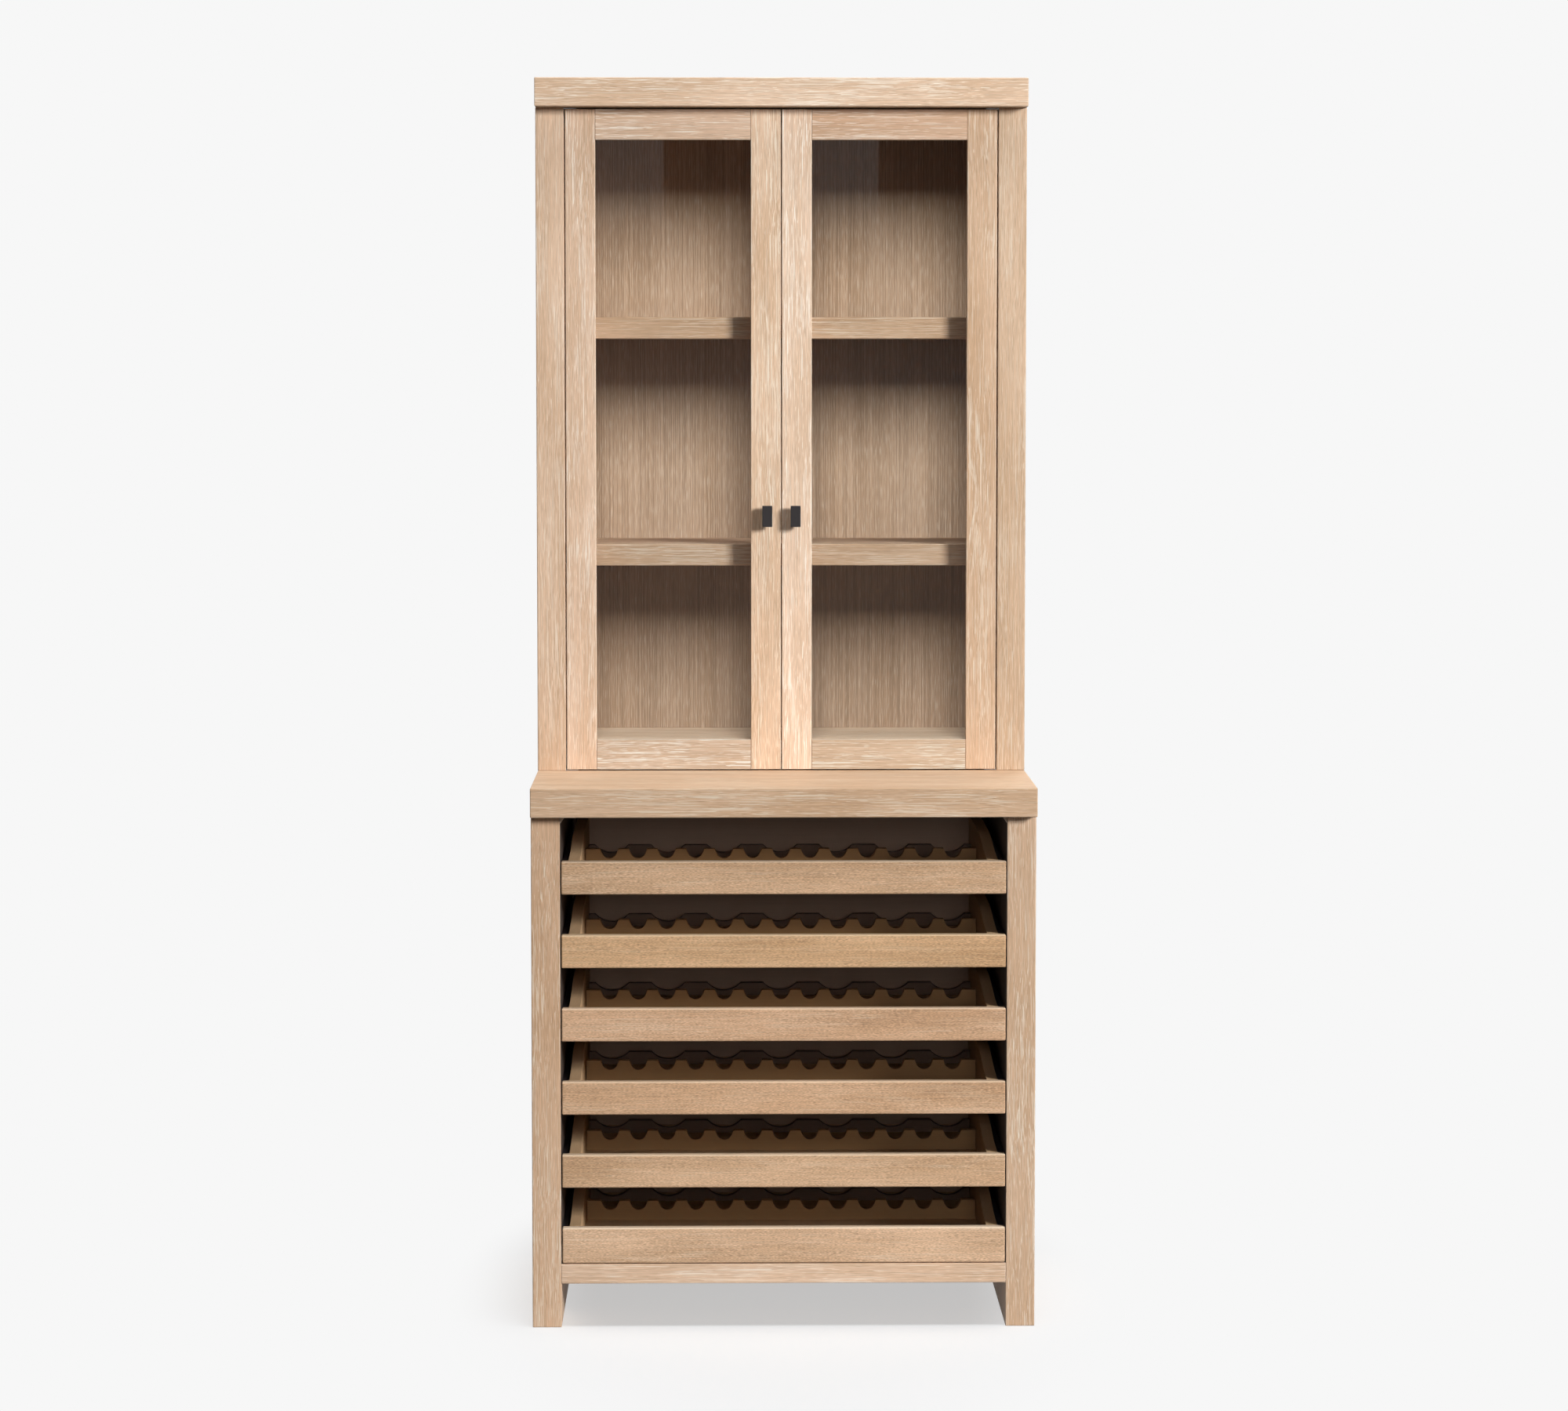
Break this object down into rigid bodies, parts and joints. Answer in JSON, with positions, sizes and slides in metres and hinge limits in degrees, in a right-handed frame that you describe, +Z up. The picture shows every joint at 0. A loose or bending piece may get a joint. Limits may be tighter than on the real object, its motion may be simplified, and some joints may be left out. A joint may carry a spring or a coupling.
{
  "type": "bar hutch",
  "caption": "Tall oak bar hutch: glass-door display cabinet with shelves on a deeper base cabinet of low-fronted pull-out drawers with notched bottle racks.",
  "frame": {"origin": "on the floor, under the middle of the base cabinet's footprint as the counter top covers it", "axes": "+Z up; the doors and drawer fronts face -Y; +X to the right seen from the front"},
  "size_m": [0.8128, 0.61, 2.026],
  "materials": {
    "oak": "limed open-pored oak, matt lacquer",
    "back_panel": "stained plywood, matt",
    "drawer_wood": "solid wood, matt lacquer",
    "glass": "clear float glass",
    "black_iron": "satin black",
    "slide_steel": "black zinc-plated steel, satin",
    "zinc_steel": "bright zinc plate",
    "bumper_rubber": "clear soft polymer"
  },
  "bodies": {
    "cabinet": {"base_side_left": "oak", "base_side_right": "oak", "counter_top": "oak", "base_deck": "oak", "base_back": "back_panel", "counter_cleats": "oak", "cabinet_slides": "slide_steel", "hutch_side_left": "oak", "hutch_side_right": "oak", "hutch_cornice": "oak", "hutch_top_panel": "oak", "hutch_floor": "oak", "hutch_back": "oak", "joining_bolts": "zinc_steel", "shelf_lower": "oak", "shelf_upper": "oak", "shelf_pins": "zinc_steel", "door_bumpers": "bumper_rubber", "pivot_brackets": "zinc_steel"},
    "door_left": {"door_left_stiles": "oak", "door_left_rails": "oak", "door_left_glass": "glass", "door_left_beads": "oak", "door_left_knob": "black_iron"},
    "door_right": {"door_right_stiles": "oak", "door_right_rails": "oak", "door_right_glass": "glass", "door_right_beads": "oak", "door_right_knob": "black_iron"},
    "drawer_1": {"drawer_1_front": "oak", "drawer_1_box": "drawer_wood", "drawer_1_racks": "drawer_wood", "drawer_1_runners": "slide_steel"},
    "drawer_1_slides": {"drawer_1_moving_slides": "slide_steel"},
    "drawer_2": {"drawer_2_front": "oak", "drawer_2_box": "drawer_wood", "drawer_2_racks": "drawer_wood", "drawer_2_runners": "slide_steel"},
    "drawer_2_slides": {"drawer_2_moving_slides": "slide_steel"},
    "drawer_3": {"drawer_3_front": "oak", "drawer_3_box": "drawer_wood", "drawer_3_racks": "drawer_wood", "drawer_3_runners": "slide_steel"},
    "drawer_3_slides": {"drawer_3_moving_slides": "slide_steel"},
    "drawer_4": {"drawer_4_front": "oak", "drawer_4_box": "drawer_wood", "drawer_4_racks": "drawer_wood", "drawer_4_runners": "slide_steel"},
    "drawer_4_slides": {"drawer_4_moving_slides": "slide_steel"},
    "drawer_5": {"drawer_5_front": "oak", "drawer_5_box": "drawer_wood", "drawer_5_racks": "drawer_wood", "drawer_5_runners": "slide_steel"},
    "drawer_5_slides": {"drawer_5_moving_slides": "slide_steel"},
    "drawer_6": {"drawer_6_front": "oak", "drawer_6_box": "drawer_wood", "drawer_6_racks": "drawer_wood", "drawer_6_runners": "slide_steel"},
    "drawer_6_slides": {"drawer_6_moving_slides": "slide_steel"}
  },
  "joints": [
    {"name": "door_left_hinge", "type": "hinge", "parent": "cabinet", "child": "door_left", "pos_m": [-0.3494, -0.002, 0.879], "axis": [0, 0, -1], "range_deg": [0, 110]},
    {"name": "door_right_hinge", "type": "hinge", "parent": "cabinet", "child": "door_right", "pos_m": [0.3494, -0.002, 0.879], "axis": [0, 0, 1], "range_deg": [0, 110]},
    {"name": "drawer_1_pull", "type": "slide", "parent": "cabinet", "child": "drawer_1", "axis": [0, -1, 0], "range_m": [0, 0.48]},
    {"name": "drawer_1_slides_run", "type": "slide", "parent": "cabinet", "child": "drawer_1_slides", "axis": [0, -1, 0], "range_m": [0, 0.24]},
    {"name": "drawer_2_pull", "type": "slide", "parent": "cabinet", "child": "drawer_2", "axis": [0, -1, 0], "range_m": [0, 0.48]},
    {"name": "drawer_2_slides_run", "type": "slide", "parent": "cabinet", "child": "drawer_2_slides", "axis": [0, -1, 0], "range_m": [0, 0.24]},
    {"name": "drawer_3_pull", "type": "slide", "parent": "cabinet", "child": "drawer_3", "axis": [0, -1, 0], "range_m": [0, 0.48]},
    {"name": "drawer_3_slides_run", "type": "slide", "parent": "cabinet", "child": "drawer_3_slides", "axis": [0, -1, 0], "range_m": [0, 0.24]},
    {"name": "drawer_4_pull", "type": "slide", "parent": "cabinet", "child": "drawer_4", "axis": [0, -1, 0], "range_m": [0, 0.48]},
    {"name": "drawer_4_slides_run", "type": "slide", "parent": "cabinet", "child": "drawer_4_slides", "axis": [0, -1, 0], "range_m": [0, 0.24]},
    {"name": "drawer_5_pull", "type": "slide", "parent": "cabinet", "child": "drawer_5", "axis": [0, -1, 0], "range_m": [0, 0.48]},
    {"name": "drawer_5_slides_run", "type": "slide", "parent": "cabinet", "child": "drawer_5_slides", "axis": [0, -1, 0], "range_m": [0, 0.24]},
    {"name": "drawer_6_pull", "type": "slide", "parent": "cabinet", "child": "drawer_6", "axis": [0, -1, 0], "range_m": [0, 0.48]},
    {"name": "drawer_6_slides_run", "type": "slide", "parent": "cabinet", "child": "drawer_6_slides", "axis": [0, -1, 0], "range_m": [0, 0.24]}
  ],
  "couplings": [
    {"joint": "drawer_1_slides_run", "follows": "drawer_1_pull", "ratio": 0.5},
    {"joint": "drawer_2_slides_run", "follows": "drawer_2_pull", "ratio": 0.5},
    {"joint": "drawer_3_slides_run", "follows": "drawer_3_pull", "ratio": 0.5},
    {"joint": "drawer_4_slides_run", "follows": "drawer_4_pull", "ratio": 0.5},
    {"joint": "drawer_5_slides_run", "follows": "drawer_5_pull", "ratio": 0.5},
    {"joint": "drawer_6_slides_run", "follows": "drawer_6_pull", "ratio": 0.5}
  ]
}
